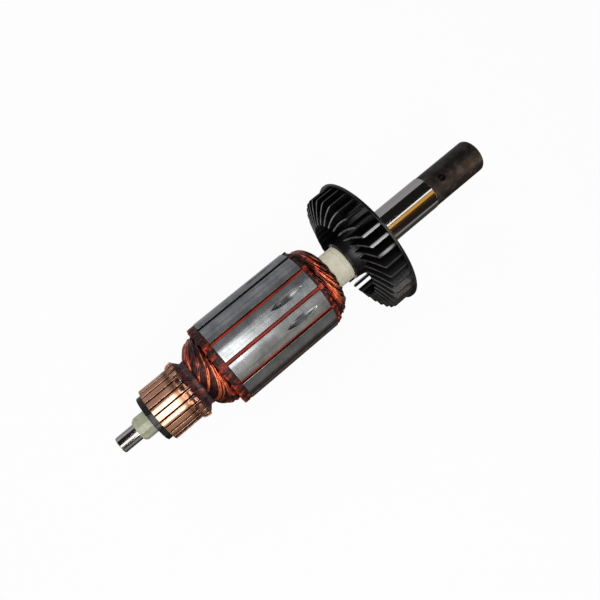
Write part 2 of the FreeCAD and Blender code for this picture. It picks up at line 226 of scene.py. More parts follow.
def turned_to(bm, degrees):
    """The same mesh, turned about the shaft."""
    bmesh.ops.rotate(bm, verts=bm.verts[:], cent=(0, 0, 0), matrix=Matrix.Rotation(math.radians(degrees), 3, "X"))
    return bm


def gathered(parts):
    """One mesh out of several."""
    whole = bmesh.new()
    for part in parts:
        scrap = bpy.data.meshes.new("scrap")
        part.to_mesh(scrap)
        part.free()
        whole.from_mesh(scrap)
        bpy.data.meshes.remove(scrap)
    return whole


def off_axis(material, place):
    """Distance from the shaft's axis, in metres."""
    across = add_node(material, "VectorMath", {"operation": "MULTIPLY"}, i0=place, i1=(0, 1, 1))
    return add_node(material, "VectorMath", {"operation": "LENGTH"}, i0=across)


# Slots, commutator bars and fan blades are all indexed round the shaft from this angle.
clock_angle = 102.5
fan_r = 38.0
disc_front_x = -23.3
blade_count = 36
blade_root_r = 23.5
blade_tip_r = 36.5
blade_width = blade_tip_r - blade_root_r
blade_sweep = math.radians(15)
blade_strips = 8

# Moulded nylon is near black with a soft gloss. Its grain is drawn 0.5 mm wide, which is as fine as can show, and
# only breaks up the highlights.
nylon, surface, place = new_material("black_moulded_nylon")
cloud = add_node(nylon, "TexNoise", Vector=place, Scale=1000 / 14, Detail=3, Roughness=0.5)
grain = add_node(nylon, "TexNoise", Vector=place, Scale=1000 / 0.5, Detail=3, Roughness=0.6)
fill(surface, IOR=1.53, Roughness=0.24, Specular_IOR_Level=0.35,
     Base_Color=add_node(nylon, "ValToRGB", stops=((0.3, "#080809"), (0.7, "#0f0f11")), Fac=cloud),
     Normal=add_node(nylon, "Bump", Height=grain, Distance=0.01e-3))

# The blades' front edges carry a painted highlight in patchy grey, strongest on the side the light comes from, and a
# few of their tips carry a painted glint.
highlit_edge_nylon, surface, place = new_material("black_nylon_with_painted_edge_highlights")
# Painted highlight on the edges that face forward, along -X.
facing = add_node(highlit_edge_nylon, "TexCoord").outputs["Normal"]
edge_highlight = add_node(highlit_edge_nylon, "MapRange", Value=add_node(highlit_edge_nylon, "SeparateXYZ", Vector=facing),
                  From_Min=-0.85, From_Max=-0.5, To_Min=1, To_Max=0)
cloud = add_node(highlit_edge_nylon, "TexNoise", Vector=place, Scale=1000 / 3, Detail=4, Roughness=0.6)
patches = add_node(highlit_edge_nylon, "MapRange", Value=cloud, From_Min=0.4, From_Max=0.6, To_Min=0.3, To_Max=1)
# The painted edge highlight is strongest towards +Y, the lit side.
side = add_node(highlit_edge_nylon, "SeparateXYZ", Vector=place).outputs["Y"]
lit_side = add_node(highlit_edge_nylon, "MapRange", Value=side, From_Min=-2e-3, From_Max=16e-3, To_Min=0.3, To_Max=1)
for share in (patches, lit_side):
    edge_highlight = add_node(highlit_edge_nylon, "Math", {"operation": "MULTIPLY"}, i0=edge_highlight, i1=share)
# Painted glint on the tips of a few blades, round this point.
tip_glint_centre = (-28.5e-3, -6.5e-3, 36.2e-3)
from_tip_glint = add_node(highlit_edge_nylon, "VectorMath", {"operation": "DISTANCE"}, i0=place, i1=tip_glint_centre)
near_tip_glint = add_node(highlit_edge_nylon, "MapRange", Value=from_tip_glint, From_Min=7e-3, From_Max=9e-3, To_Min=1, To_Max=0)
outermost = add_node(highlit_edge_nylon, "MapRange", Value=off_axis(highlit_edge_nylon, place), From_Min=35.5e-3,
                     From_Max=36.2e-3)
tip_glint = add_node(highlit_edge_nylon, "Math", {"operation": "MULTIPLY"}, i0=near_tip_glint, i1=outermost)
edge_highlight_colour = add_node(highlit_edge_nylon, "Mix", {"data_type": "RGBA"}, i0=edge_highlight, i6="#0a0a0b", i7="#8a8a8c")
grain = add_node(highlit_edge_nylon, "TexNoise", Vector=place, Scale=1000 / 0.5, Detail=3, Roughness=0.6)
fill(surface, IOR=1.53, Roughness=0.3,
     Base_Color=add_node(highlit_edge_nylon, "Mix", {"data_type": "RGBA"}, i0=tip_glint, i6=edge_highlight_colour, i7="#b4b4b4"),
     Normal=add_node(highlit_edge_nylon, "Bump", Height=grain, Distance=0.02e-3))

fan_mesh = turned([
    (fan_front_x, fan_bore_r, 0.2), (fan_front_x, 11.5, 0.5), (-37.6, 11.6, 0), (-34.5, 12.1, 0), (-31.5, 13.2, 0),
    (-29.0, 14.8, 0), (-26.8, 17.0, 0), (-24.9, 19.7, 0), (disc_front_x, 23.0, 0), (disc_front_x, fan_r, 0.4),
    (-seat_half, fan_r, 0.4), (-seat_half, fan_bore_r, 0)], closed=True, steps=144)

# Each blade is cut across into strips, so that it can curve, and its strips then lag more towards the hub.
blades = []
for number in range(blade_count):
    blade = slab([(-23.0, blade_root_r, 0), (-38.7, blade_root_r, 0.5), (-34.0, blade_tip_r, 0.9),
                  (-23.0, blade_tip_r, 0)], 1.1)
    eased(blade, 0.25)
    for cut in range(1, blade_strips):
        cut_r = blade_root_r + blade_width * cut / blade_strips
        bmesh.ops.bisect_plane(blade, geom=blade.verts[:] + blade.edges[:] + blade.faces[:], dist=0.001,
                               plane_co=(0, cut_r, 0), plane_no=(0, 1, 0))
    for vert in blade.verts:
        radius, across = vert.co.y, vert.co.z
        lag = blade_sweep * (blade_tip_r - radius) / blade_width
        vert.co.y = radius * math.cos(lag) + across * math.sin(lag)
        vert.co.z = across * math.cos(lag) - radius * math.sin(lag)
    blades.append(turned_to(blade, clock_angle + 360 / blade_count * number))
finished("fan_disc_and_hub", fan_mesh, nylon, "fan_black", "fan")
finished("fan_blades", gathered(blades), highlit_edge_nylon, "fan_black", "fan")


# Insulating sleeve. A tube of cream moulded insulation, pressed on to the shaft under the core. It keeps the
# winding off the steel, and reaches back as far as the fan, where a groove runs round it.

sleeve_r = 10.25

# Moulded cream plastic is half matt, with faint stains about 6 mm across.
cream, surface, place = new_material("cream_moulded_insulation")
stain = add_node(cream, "TexNoise", Vector=place, Scale=1000 / 6, Detail=5, Roughness=0.6)
grain = add_node(cream, "TexNoise", Vector=place, Scale=1000 / 0.8, Detail=3, Roughness=0.55)
fill(surface, Roughness=0.42,
     Base_Color=add_node(cream, "ValToRGB", stops=((0.3, "#cfcab2"), (0.65, "#e6e1ca")), Fac=stain),
     Normal=add_node(cream, "Bump", Height=grain, Distance=0.01e-3))
finished("insulating_tube", turned([
    (-136.2, core_bore_r, 0), (-136.2, sleeve_r, 0.3), (-42.4, sleeve_r, 0.1), (-42.2, 10.0, 0.1),
    (-41.9, 10.0, 0.1), (-41.7, sleeve_r, 0.1), (-39.55, sleeve_r, 0.9), (-39.55, core_bore_r, 0)], closed=True),
    cream, "cream_insulation", "insulating_sleeve")


# Core. A stack of electrical steel sheets with semi-closed slots, pressed on to the sleeve and turned to size.
# Three of its teeth carry grooves, ground in to balance the rotor.

def cad_copy(name):
    """Merged copy of a CAD node's mesh, in mm, with its flat faces whole again."""
    bm = bmesh.new()
    bm.from_mesh(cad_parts[name].data)
    bmesh.ops.transform(bm, matrix=Matrix.Scale(1000, 4), verts=bm.verts[:])
    bmesh.ops.remove_doubles(bm, verts=bm.verts[:], dist=0.002)
    bmesh.ops.dissolve_limit(bm, angle_limit=math.radians(0.5), verts=bm.verts[:], edges=bm.edges[:])
    return bm


# Turned sheets shine like brushed steel. The tool leaves streaks round the core, and handling leaves scratches
# along it. The sheets are drawn 1.1 mm apart, because the real ones are too thin to show.
core_steel, surface, place = new_material("turned_laminations")
sheets = add_node(core_steel, "TexWave", {"bands_direction": "X"}, Vector=place, Scale=math.tau / 20 / 1.1e-3,
                  Distortion=0.6, Detail=2.0)
tint = add_node(core_steel, "TexNoise", Vector=place, Scale=1000 / 7, Detail=4, Roughness=0.6)
streaks = add_node(core_steel, "TexNoise", Scale=1000 / 1.2, Detail=4, Roughness=0.6,
                   Vector=add_node(core_steel, "Mapping", Vector=place, Scale=(1, 1 / 30, 1 / 30)))
scratches = add_node(core_steel, "TexNoise", Scale=1000 / 1.3, Detail=3, Roughness=0.6,
                     Vector=add_node(core_steel, "Mapping", Vector=place, Scale=(1 / 45, 1, 1)))
base = "#9a9c9d"
for pattern, start, end, most, code in ((tint, 0.35, 0.7, 1, "#77797a"), (streaks, 0.4, 0.7, 0.2, "#6a6a66"),
                                        (scratches, 0.52, 0.7, 0.55, "#4b4b48")):
    share = add_node(core_steel, "MapRange", Value=pattern, From_Min=start, From_Max=end, To_Max=most)
    base = add_node(core_steel, "Mix", {"data_type": "RGBA"}, i0=share, i6=base, i7=code)
fill(surface, Metallic=1.0, Roughness=0.21, Base_Color=base,
     Normal=add_node(core_steel, "Bump", Height=sheets.outputs["Fac"], Distance=0.001e-3))
finished("slotted_core", eased(cad_copy("lamination_stack"), 0.12, 1), core_steel, "core_steel", "lamination_stack")


# End insulators. Rings of varnished vulcanised fibre with the core's own slots, one on each face of the core.
# They keep the coil heads off the steel.

# Fibre under spilt varnish is near black and rough, and shows its red in flecks about 1.4 mm across.
fibre, surface, place = new_material("varnished_dark_fibre")
flecks = add_node(fibre, "TexNoise", Vector=place, Scale=1000 / 1.4, Detail=5, Roughness=0.65)
lumps = add_node(fibre, "TexNoise", Vector=place, Scale=1000 / 1.3, Detail=4, Roughness=0.55)
fill(surface, Roughness=0.5, Specular_IOR_Level=0.25,
     Base_Color=add_node(fibre, "ValToRGB", stops=((0.44, "#0b0504"), (0.55, "#30100a"), (0.66, "#7c2614")),
                         Fac=flecks),
     Normal=add_node(fibre, "Bump", Height=lumps, Distance=0.25e-3))
for end in ("front", "rear"):
    node = end + "_end_insulator"
    finished(end + "_fibre_ring", cad_copy(node), fibre, "end_fibre", node)


# Slot wedges and liners. Red fibre sheet: a liner in each slot round the coil legs, and a strip that closes the
# slot under the lips of its teeth. The ends of both stand out over the end rings as cuffs, folds and torn tabs.

core_middle_x = -93.2
slot_count = 12
strip_length = 64.7
strip_middle_x = -94.05
# One strip, at the upper left as the camera sees it, lies deep in shadow in its slot, and the dark fibre is painted
# on it as shade.
shaded_strip = 10


def from_core_middle(material, place):
    """Distance along the shaft from the middle of the core, in metres."""
    along = add_node(material, "SeparateXYZ", Vector=place)
    return add_node(material, "Math", {"operation": "ABSOLUTE"},
                    i0=add_node(material, "Math", {"operation": "ADD"}, i0=along, i1=-core_middle_x / 1000))


# Red fibre is dull and even along a strip. Past the core's faces its cuffs are patched with dark varnish.
wedge_red, surface, place = new_material("varnished_red_fibre")
fibres = add_node(wedge_red, "TexNoise", Scale=1000 / 4, Detail=5, Roughness=0.6,
                  Vector=add_node(wedge_red, "Mapping", Vector=place, Scale=(1 / 4, 1, 1)))
strip_red = add_node(wedge_red, "ValToRGB", stops=((0.3, "#5c180c"), (0.5, "#9c2a0e"), (0.75, "#bc3c18")),
                     Fac=fibres)
patches = add_node(wedge_red, "TexNoise", Vector=place, Scale=1000 / 1.8, Detail=4, Roughness=0.6)
cuff_red = add_node(wedge_red, "ValToRGB", stops=((0.40, "#240806"), (0.53, "#8c2210"), (0.68, "#d4461c")),
                    Fac=patches)
in_cuff = add_node(wedge_red, "Math", {"operation": "GREATER_THAN"}, i0=from_core_middle(wedge_red, place),
                   i1=29.1e-3)
grain = add_node(wedge_red, "TexNoise", Vector=place, Scale=1000 / 0.6, Detail=3, Roughness=0.55)
fill(surface, Roughness=0.5, Specular_IOR_Level=0.2,
     Base_Color=add_node(wedge_red, "Mix", {"data_type": "RGBA"}, i0=in_cuff, i6=strip_red, i7=cuff_red),
     Normal=add_node(wedge_red, "Bump", Height=grain, Distance=0.03e-3))

dice = random.Random(7)
for number in range(slot_count):
    strip = slab([(-2.8, 21.35, 0), (-2.6, 21.8, 0), (-0.68, 21.8, 0), (-0.62, 23.1, 0.3), (0.62, 23.1, 0.3),
                  (0.68, 21.8, 0), (2.6, 21.8, 0), (2.8, 21.35, 0)], strip_length)
    parts = [quarter_turned(strip, strip_middle_x)]
    # The liner's cuffs lie over both end rings, and the front one has a fold beside it.
    for start, end, width in ((-126.9, -122.3, 4.0), (-63.9, -61.3, 2.8)):
        cuff = slab([(start, 21.5, 0.4), (start, 23.6, 0.7), (end, 23.7, 0.2), (end, 21.5, 0)], width)
        parts.append(eased(cuff, 0.5, 3))
    fold = slab([(-126.9, 22.5, 0.3), (-126.9, 24.0, 0.6), (-123.6, 24.0, 0.4), (-123.6, 22.5, 0.3)],
                dice.uniform(2.0, 3.4))
    parts.append(turned_to(eased(fold, 0.4, 3), 15 + dice.uniform(-2, 2)))
    # Torn tabs of the liner lie on the faces of the end rings, each a little askew.
    for face_x, outward, middle in ((-126.3, -1, 10), (-62.0, 1, 10), (-62.0, 1, 20)):
        tab = slab([(-0.6, -1.5, 0.3), (0.8, -1.2, 0.5), (0.8, 1.4, 0.7), (-0.6, 1.7, 0.3)],
                   2.2 * dice.uniform(0.8, 1))
        eased(tab, 0.4, 3)
        bmesh.ops.rotate(tab, verts=tab.verts[:], cent=(0, 0, 0),
                         matrix=Matrix.Rotation(dice.uniform(-0.3, 0.3), 3, "Y"))
        bmesh.ops.scale(tab, verts=tab.verts[:], vec=(outward, 1, 1))
        bmesh.ops.translate(tab, verts=tab.verts[:], vec=(face_x, 21.8 + dice.uniform(-0.5, 0.2), 0))
        parts.append(turned_to(tab, middle + dice.uniform(-2, 2)))
    finished("wedge_strip_%02d" % (number + 1), turned_to(gathered(parts), clock_angle + 360 / slot_count * number),
             fibre if number == shaded_strip else wedge_red, "red_fibre", "slot_wedge_%02d" % (number + 1))
finished("slot_linings", cad_copy("slot_liners"), wedge_red, "red_fibre", "slot_liners")


# Winding. Twelve coils of enamelled copper wire, wound tightly over the ends of the core, each from one slot to
# the fifth one on, then soaked in varnish. Each head is a bundle of single wires.

# The enamel is clear orange over bright copper. Painted shade darkens it beside the core, low on the sleeve and at
# the back of the rear head, and a painted highlight lifts one place on each head.
enamel, surface, place = new_material("enamelled_copper_wire")
shade = add_node(enamel, "TexNoise", Vector=place, Scale=1000 / 6, Detail=3, Roughness=0.6)
# Painted shade: darker beside the core, low on the sleeve and towards the back of the rear head.
for measure, start, end, first, last in (
        (from_core_middle(enamel, place), 33.0e-3, 35.2e-3, 0.5, 1),
        (off_axis(enamel, place), 11.5e-3, 15e-3, 0.45, 1),
        (add_node(enamel, "SeparateXYZ", Vector=place), -54.5e-3, -52.0e-3, 1, 0.4)):
    painted_shade = add_node(enamel, "MapRange", Value=measure, From_Min=start, From_Max=end, To_Min=first, To_Max=last)
    shade = add_node(enamel, "Math", {"operation": "MULTIPLY"}, i0=shade, i1=painted_shade)
# Painted highlights: one place on each head is lifted brighter.
for highlight_spot in ((-133.5e-3, -8.3e-3, 15.0e-3), (-57.5e-3, -10.5e-3, 16.5e-3)):
    away = add_node(enamel, "VectorMath", {"operation": "DISTANCE"}, i0=place, i1=highlight_spot)
    clean = add_node(enamel, "MapRange", Value=away, From_Min=3e-3, From_Max=11e-3, To_Min=0.18, To_Max=0)
    shade = add_node(enamel, "Math", {"operation": "ADD"}, i0=shade, i1=clean)
fill(surface, Metallic=0.85, Roughness=0.22, Coat_Weight=0.6, Coat_Roughness=0.12,
     Base_Color=add_node(enamel, "ValToRGB", Fac=shade, stops=(
         (0.3, "#160504"), (0.42, "#52120a"), (0.52, "#b03216"), (0.62, "#f27c48"))))

# Wires deep in a head wear a painted shade: dark brown with little gloss.
dark_enamel, surface, place = new_material("deep_wire_painted_shade")
deep_wire_mottle = add_node(dark_enamel, "TexNoise", Vector=place, Scale=1000 / 2.5, Detail=4, Roughness=0.6)
fill(surface, Metallic=0.5, Roughness=0.35, Coat_Weight=0.15,
     Base_Color=add_node(dark_enamel, "ValToRGB", stops=((0.42, "#0e0302"), (0.55, "#300b07"), (0.68, "#7c220f")),
                         Fac=deep_wire_mottle))

# The wires of a head leave their slot and bend round an eye, at layer_r from the axis and eye_gap past the end ring.
# They fan out over fan_angle round it, while they turn by coil_angle about the shaft to the coil's other slot.
# Angles are in degrees, and half_strand is half the angle that one strand takes up in the fan.
layer_r = 18.15
wire_d = 1.0
eye_r = 1.1
eye_gap = 0.4
fan_angle = 150
coil_angle = 150
half_strand = 13.5
head_steps = 12
sleeve_gap = 0.12
dark_wires = 8
dark_depth = 1.1
twisted_wires = 3
twist_r = 0.5
# Each head: core face, direction outwards, thickness of its end ring, reach from the core, height over the sleeve,
# and the power by which its turn about the shaft falls behind (above 1) or runs ahead along a wire.
heads = {
    "front": (-122.2, -1, 4.2, 16.9, 11.2, 1.1),
    "rear": (-64.2, 1, 2.5, 14.0, 13.1, 0.75),
}


def dome_reach(eye, direction, depth, height):
    """Distance from the eye of a head to its dome, or to the sleeve that it lies on."""
    out, up = math.cos(direction), math.sin(direction)
    rise = eye[1] - sleeve_r
    a = (out / depth) ** 2 + (up / height) ** 2
    b = 2 * (eye[0] * out / depth ** 2 + rise * up / height ** 2)
    c = (eye[0] / depth) ** 2 + (rise / height) ** 2 - 1
    reach = (-b + math.sqrt(b ** 2 - 4 * a * c)) / (2 * a)
    if up < 0:
        reach = min(reach, (rise - sleeve_gap) / -up)
    return reach


def polar(x, radius, angle):
    """Point at this station, radius and angle about the shaft."""
    return (x, radius * math.cos(angle), radius * math.sin(angle))


def head_wire(head, across, depth_in, start, sway, twist=(0, 0, 0)):
    """Points of one wire over a head: across runs from -1 to 1 over its strand, at this depth in mm under the dome.
    The sway is (share of half the strand, waves, phase), and the twist round its bundle (mm, turns, phase)."""
    core_x, outward, ring, depth, height, turn_power = head
    slot_end_x = core_x + outward * (ring - 0.8)
    eye = (ring + eye_gap, layer_r)
    points = [polar(slot_end_x, 20.4 - 0.8 * depth_in, start + across * 0.09)]
    for step in range(head_steps + 1):
        share = 0.04 + 0.92 * step / head_steps
        swing = sway[0] * math.sin(math.tau * share * sway[1] + sway[2])
        roll = math.tau * share * twist[1] + twist[2]
        swing += twist[0] / 3 * math.cos(roll)
        direction = math.radians(fan_angle / 2 - fan_angle * share + (across + swing) * half_strand)
        sunk = depth_in + twist[0] * (1 - math.sin(roll)) + 1.2 * max(0, 0.2 - share)
        reach = max(dome_reach(eye, direction, depth, height) - wire_d / 2 - sunk, eye_r)
        x = core_x + outward * (eye[0] + reach * math.cos(direction))
        radius = eye[1] + reach * math.sin(direction)
        points.append(polar(x, radius, start + math.radians(coil_angle * share ** turn_power)))
    points.append(polar(slot_end_x, 16.2 + 0.3 * depth_in, start + math.radians(coil_angle) + across * 0.07))
    return points


def wires_piece(name, paths, diameter, material, slot, *nodes):
    """Curve object of round wires along smooth paths of points in mm."""
    curve = bpy.data.curves.new(name, "CURVE")
    curve.dimensions = "3D"
    curve.resolution_u = 3
    curve.bevel_depth = diameter / 2000
    curve.bevel_resolution = 1
    curve.use_fill_caps = True
    for path in paths:
        spline = curve.splines.new("NURBS")
        spline.points.add(len(path) - 1)
        for point, place in zip(spline.points, path):
            point.co = [c / 1000 for c in place] + [1]
        spline.order_u = 4
        spline.use_endpoint_u = True
    curve.materials.append(material)
    piece = bpy.data.objects.new(name, curve)
    bpy.context.scene.collection.objects.link(piece)
    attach(piece, "root")
    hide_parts(*nodes)


# Each strand of a head is a layer of single wires under two bundles of twisted ones, and the single wires wear a
# painted shade. The second bundle lies deeper, and in about two heads out of three it wears that painted shade too.
for number in range(slot_count):
    start = math.radians(clock_angle + 360 / slot_count * number)
    bright, dark = [], []
    for head in heads.values():
        for wire in range(dark_wires):
            across = (wire + 0.5) / dark_wires * 2 - 1
            sway = (0.05, 1, dice.uniform(0, 6))
            dark.append(head_wire(head, across, dark_depth, start, sway))
        for bundle, least, layer in ((-0.5, 0, bright), (0.5, 0.5, dice.choice((bright, dark, dark)))):
            sway = (dice.uniform(0.1, 0.4), dice.uniform(0.6, 1.3), dice.uniform(0, 6))
            roll = dice.uniform(0, 6)
            turns = dice.uniform(0.5, 1.2)
            depth_in = least + dice.uniform(0, 0.4)
            for wire in range(twisted_wires):
                twist = (twist_r, turns, roll + math.tau * wire / twisted_wires)
                layer.append(head_wire(head, bundle, depth_in, start, sway, twist))
    for kind, paths, material in (("wires", bright, enamel), ("depths", dark, dark_enamel)):
        wires_piece("coil_%s_%02d" % (kind, number + 1), paths, wire_d, material, "enamelled_wire",
                    "coil_%02d" % (number + 1))

# The inner wires of a head are one turned form, inside_depth under its dome, and wear the painted shade of deep
# wires. It closes the gaps between the outer ones, so that no light shows through.
inside_depth = 2.6
for end, (core_x, outward, ring, depth, height, _) in heads.items():
    outline = [(core_x + outward * ring, sleeve_r, 0)]
    for step in range(9):
        rise = math.radians(8 + 72 * step / 8)
        outline.append((core_x + outward * (depth - inside_depth) * math.cos(rise),
                        sleeve_r + (height - inside_depth) * math.sin(rise), 0))
    outline = [point for point in outline if outward * (point[0] - core_x) >= ring]
    outline.append((core_x + outward * ring, outline[-1][1], 0))
    finished(end + "_head_inside", turned(outline, closed=True), dark_enamel, "enamelled_wire",
             *("coil_%02d" % (number + 1) for number in range(slot_count)))


# Commutator. Copper bars keyed into black moulded phenolic, turned true as one. Each bar has a hook at its back,
# bent down over a lead of the winding and welded.

bar_count = 24
bar_front_x = -164.0
bar_back_x = -142.7
bar_length = 21.3
bar_middle_x = -153.35
collar_front_x = -167.3
collar_r = 13.1

# Moulded phenolic is black with some gloss on the collar. Between the bars it is undercut, dull and stained brown.
phenolic, surface, place = new_material("black_phenolic")
cloud = add_node(phenolic, "TexNoise", Vector=place, Scale=1000 / 2, Detail=4, Roughness=0.55)
moulded = add_node(phenolic, "ValToRGB", stops=((0.3, "#0c0d0b"), (0.7, "#171915")), Fac=cloud)
between_bars = add_node(phenolic, "Math", {"operation": "GREATER_THAN"},
                        i0=add_node(phenolic, "SeparateXYZ", Vector=place), i1=-164.1e-3)
grain = add_node(phenolic, "TexNoise", Vector=place, Scale=1000 / 0.5, Detail=3, Roughness=0.55)
fill(surface,
     Base_Color=add_node(phenolic, "Mix", {"data_type": "RGBA"}, i0=between_bars, i6=moulded, i7="#1a0f0b"),
     Roughness=add_node(phenolic, "MapRange", Value=between_bars, To_Min=0.2, To_Max=0.8),
     Specular_IOR_Level=add_node(phenolic, "MapRange", Value=between_bars, To_Min=0.3, To_Max=0.1),
     Normal=add_node(phenolic, "Bump", Height=grain, Distance=0.02e-3))
finished("commutator_body", turned([
    (collar_front_x, commutator_bore_r, 0), (collar_front_x, collar_r, 0.4), (bar_front_x, collar_r, 0),
    (bar_front_x, 14.0, 0), (bar_back_x, 14.0, 0), (bar_back_x, 11.5, 0), (moulding_back_x, 11.5, 0),
    (moulding_back_x, commutator_bore_r, 0)], closed=True), phenolic, "black_moulding", "commutator_moulding")

# Turned copper is pink and bright, with fine rings and a tarnish drawn out along the bars. A dull brown band is
# painted across the bars in front of the hooks, and fades almost away on them.
bar_copper, surface, place = new_material("turned_bar_copper")
turning = add_node(bar_copper, "TexNoise", Scale=1000 / 1.6, Detail=3, Roughness=0.6,
                   Vector=add_node(bar_copper, "Mapping", Vector=place, Scale=(1, 1 / 300, 1 / 300)))
tarnish = add_node(bar_copper, "TexNoise", Scale=1000 / 6, Detail=3, Roughness=0.5,
                   Vector=add_node(bar_copper, "Mapping", Vector=place, Scale=(1 / 3, 1, 1)))
clean = add_node(bar_copper, "ValToRGB", stops=((0.3, "#ab7a61"), (0.55, "#c39278"), (0.8, "#d3a68f")),
                 Fac=tarnish)
along = add_node(bar_copper, "SeparateXYZ", Vector=place)
# A dull brown band is painted across the bars here, in front of the hooks.
band_start = add_node(bar_copper, "MapRange", Value=along, From_Min=-151.5e-3, From_Max=-149.0e-3)
band_end = add_node(bar_copper, "MapRange", Value=along, From_Min=-148.2e-3, From_Max=-146.8e-3,
                    To_Min=1, To_Max=0.1)
brown_band = add_node(bar_copper, "Math", {"operation": "MULTIPLY"}, i0=band_start, i1=band_end)
fill(surface, Metallic=1.0,
     Base_Color=add_node(bar_copper, "Mix", {"data_type": "RGBA"}, i0=brown_band, i6=clean, i7="#7d5843"),
     Roughness=add_node(bar_copper, "MapRange", Value=brown_band, To_Min=0.19, To_Max=0.3),
     Normal=add_node(bar_copper, "Bump", Height=turning, Distance=0.002e-3))

for number in range(bar_count):
    bar = slab([(-1.30, 13.2, 0), (-1.55, 15.15, 0.12), (-0.8, 15.23, 0), (0, 15.25, 0), (0.8, 15.23, 0),
                (1.55, 15.15, 0.12), (1.30, 13.2, 0)], bar_length)
    quarter_turned(bar, bar_middle_x)
    hook = slab([(bar_back_x, 14.6, 0), (bar_back_x, 17.05, 1.1), (-145.4, 17.05, 1.5), (-147.3, 15.95, 0.3),
                 (-147.3, 15.3, 0.3), (-145.2, 16.0, 0.4), (-143.7, 16.1, 0.4), (-143.7, 14.6, 0)], 2.3)
    whole = gathered([eased(bar, 0.12, 1), eased(hook, 0.75, 4)])
    finished("bar_%02d" % (number + 1), turned_to(whole, clock_angle + 360 / bar_count * number), bar_copper,
             "copper", "commutator_bar_%02d" % (number + 1))


# Front bush. A collar moulded in greenish cream nylon with flats round it, pressed on to the shaft against the
# commutator. It keeps the commutator from the bearing.

# Unfilled nylon is smooth, with soft clouds in its tint.
bush_nylon, surface, place = new_material("greenish_cream_nylon")
cloud = add_node(bush_nylon, "TexNoise", Vector=place, Scale=1000 / 3, Detail=4, Roughness=0.55)
grain = add_node(bush_nylon, "TexNoise", Vector=place, Scale=1000 / 0.6, Detail=3, Roughness=0.55)
fill(surface, Roughness=0.28,
     Base_Color=add_node(bush_nylon, "ValToRGB", stops=((0.3, "#97987f"), (0.7, "#b6b79e")), Fac=cloud),
     Normal=add_node(bush_nylon, "Bump", Height=grain, Distance=0.01e-3))
finished("flatted_collar", cad_copy("front_bush"), bush_nylon, "cream_insulation", "front_bush", crease=20)


# Leads. The ends of the coils, two wires to a bar: they run from the hooks down to a neck bound with varnish, and
# up on to the front head of the winding. The varnish lies as a soft collar under the wires.

# Varnish over wire is purple black, and lets the red of the enamel through in patches about 4 mm across.
varnish, surface, place = new_material("dark_varnished_wire")
patches = add_node(varnish, "TexNoise", Vector=place, Scale=1000 / 4, Detail=4, Roughness=0.55)
fill(surface, Roughness=0.38, Specular_IOR_Level=0.3, Coat_Weight=0.12,
     Base_Color=add_node(varnish, "ValToRGB", stops=((0.35, "#241619"), (0.52, "#463238"), (0.66, "#7a3424")),
                         Fac=patches))

lead_count = 2 * bar_count
lead_d = 0.95
lead_paths = []
for number in range(lead_count):
    middle = clock_angle + 360 / lead_count * (number + 0.5) + dice.uniform(-1, 1)
    twist = dice.uniform(2, 14)
    on = dice.uniform(-1.0, 1.2)
    stations = [
        (-146.3, 15.7, 0), (-144.6, 15.9, 0), (-142.8, 15.8, 0), (-141.5, 14.0, 0.5), (-140.6, 12.9, 0.2 * twist),
        (-139.8, 12.6, 0.5 * twist), (-139.0, 12.8, 0.9 * twist), (-138.2 + 0.4 * on, 12.9 + 0.3 * on, 1.2 * twist),
        (-137.2 + 0.5 * on, 11.6, 1.4 * twist)]
    lead_paths.append([polar(x, radius + dice.uniform(-0.15, 0.15), math.radians(middle + turn))
                       for x, radius, turn in stations])
wires_piece("lead_wires", lead_paths, lead_d, varnish, "varnished_leads", "commutator_leads")
finished("varnish_fillet", turned([
    (-142.8, 11.0, 0), (-142.8, 15.4, 0.3), (-141.2, 13.6, 0.5), (-140.1, 12.6, 0.8), (-138.6, 12.9, 0.8),
    (-137.6, 12.6, 0.5), (-136.8, 11.0, 0)], closed=True),
    varnish, "varnished_leads", "commutator_leads")


# Floor and air. The object lies on white paper. Paper and air show near white, but the object gets only a plain
# part of that light.

def background_rays(material):
    """1 for camera, glossy and transmission rays, and 0 for the rays that light the object."""
    rays = add_node(material, "LightPath")
    seen = rays.outputs["Is Camera Ray"]
    for kind in ("Is Glossy Ray", "Is Transmission Ray"):
        seen = add_node(material, "Math", {"operation": "MAXIMUM"}, i0=seen, i1=rays.outputs[kind])
    return seen


paper = bpy.data.materials.new("white_paper")
paper.use_nodes = True
surface = paper.node_tree.nodes["Principled BSDF"]
fill(surface, Base_Color="#ededed", Roughness=0.9)
share = add_node(paper, "Math", {"operation": "MULTIPLY"}, i0=background_rays(paper), i1=0.94)
fill(paper.node_tree.nodes["Material Output"],
     i0=add_node(paper, "MixShader", i0=share, i1=surface, i2=add_node(paper, "Emission", Strength=1.0)))
# The fan's rim is 38 mm off the axis, so the floor clears it by 0.2 mm.
floor_z = -38.2e-3
floor_mesh = bmesh.new()
bmesh.ops.create_grid(floor_mesh, x_segments=1, y_segments=1, size=4)
bmesh.ops.translate(floor_mesh, verts=floor_mesh.verts[:], vec=(0, 0, floor_z))
placed("floor", floor_mesh, paper)

world = bpy.data.worlds.new("studio")
bpy.context.scene.world = world
world.use_nodes = True
fill(world.node_tree.nodes["Background"], Color=(1, 1, 1, 1),
     Strength=add_node(world, "MapRange", Value=background_rays(world), To_Min=0.42, To_Max=1.0))


# Camera. It was fitted to the photograph: how the shaft is tilted away and turned in the picture, the size of a
# pixel on the object in metres, and the focal length in pixels of a picture 600 wide. near_way runs from the shaft
# towards the camera, and side_way across the shaft towards the lower right of the picture.

